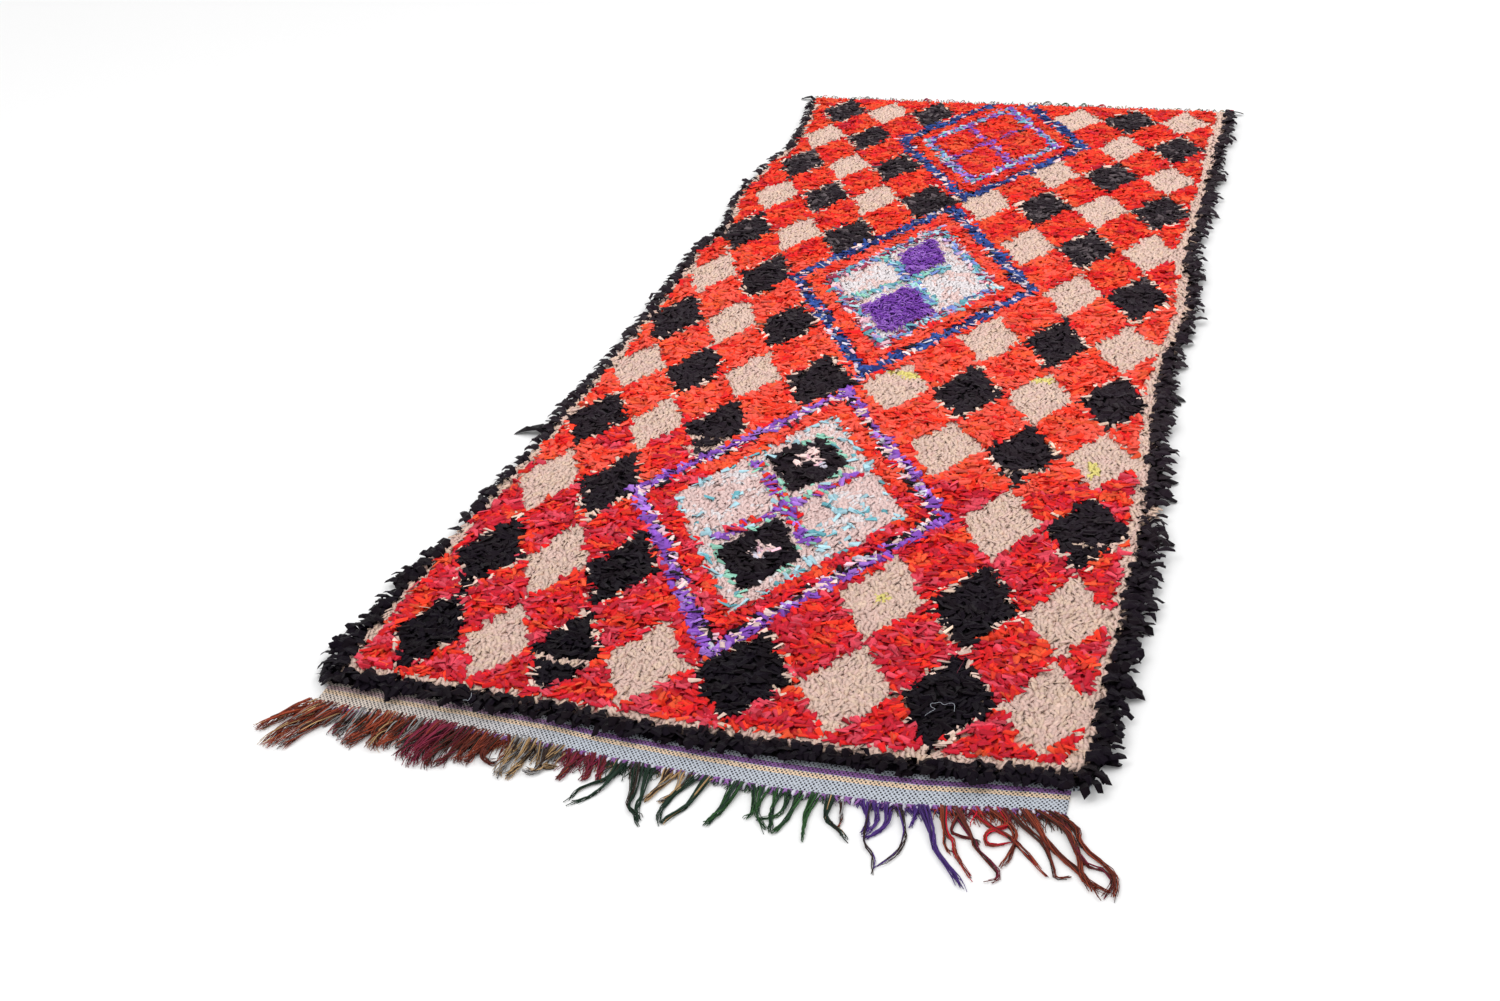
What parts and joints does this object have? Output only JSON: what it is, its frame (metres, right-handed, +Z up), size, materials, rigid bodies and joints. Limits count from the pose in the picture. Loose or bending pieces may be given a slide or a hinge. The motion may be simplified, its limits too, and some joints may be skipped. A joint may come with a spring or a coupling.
{
  "type": "boucherouite rug",
  "caption": "Flat shaggy rug of knotted rag pile on a woven ground, with a flat-woven end and warp fringes.",
  "frame": {"origin": "under the middle of the pile, on the floor", "axes": "+X across the rug to the right, +Y up its length away from the flat-woven end, +Z up"},
  "size_m": [1.2959, 3.1429, 0.0315],
  "materials": {
    "rag_pile": "matt",
    "warp_yarn": "matt",
    "warp_ends": "matt"
  },
  "bodies": {
    "root": {"rug_body": "rag_pile", "fringe_front": "warp_yarn", "fringe_back": "warp_ends"}
  },
  "joints": []
}
